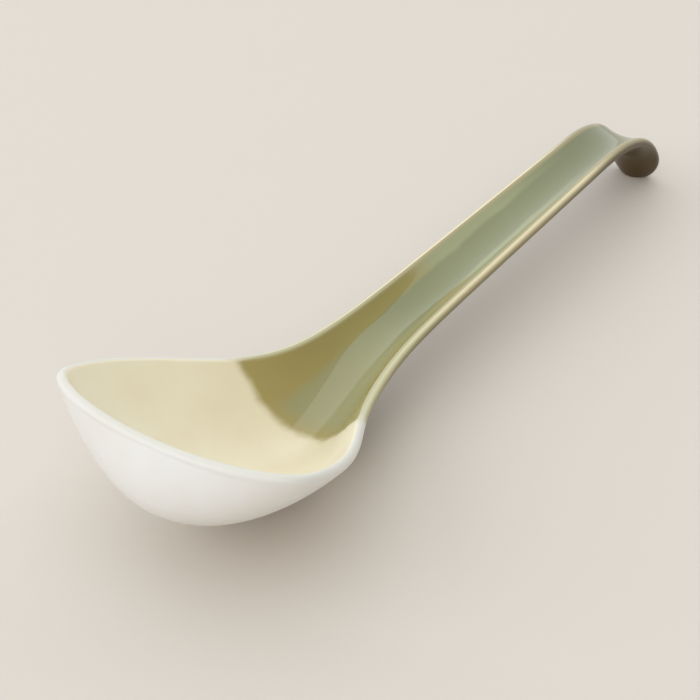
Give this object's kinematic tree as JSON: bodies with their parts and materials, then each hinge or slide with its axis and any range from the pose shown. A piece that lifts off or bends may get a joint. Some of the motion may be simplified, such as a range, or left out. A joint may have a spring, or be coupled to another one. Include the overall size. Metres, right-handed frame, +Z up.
{
  "type": "ceramic ladle",
  "caption": "Ceramic ladle with a wide flared scoop bowl glazed cream inside and white outside, and a green-glazed channelled handle curled down at its end.",
  "frame": {"origin": "middle of the ladle's length and width, on the table that it lies on", "axes": "+X along the handle from the bowl to the curl, +Z up from the table"},
  "size_m": [0.2106, 0.0686, 0.0362],
  "materials": {
    "bowl_clay": "bare fired clay",
    "handle_clay": "bare fired clay",
    "slip": "fired slip",
    "cream_glaze": "satin glaze",
    "white_glaze": "satin glaze",
    "green_glaze": "gloss glaze",
    "green_back_glaze": "gloss glaze"
  },
  "bodies": {
    "root": {"bowl_body": "bowl_clay", "handle_body": "handle_clay", "luting_slip": "slip", "bowl_lining_glaze": "cream_glaze", "bowl_outer_glaze": "white_glaze", "handle_channel_glaze": "green_glaze", "handle_back_glaze": "green_back_glaze"}
  },
  "joints": []
}
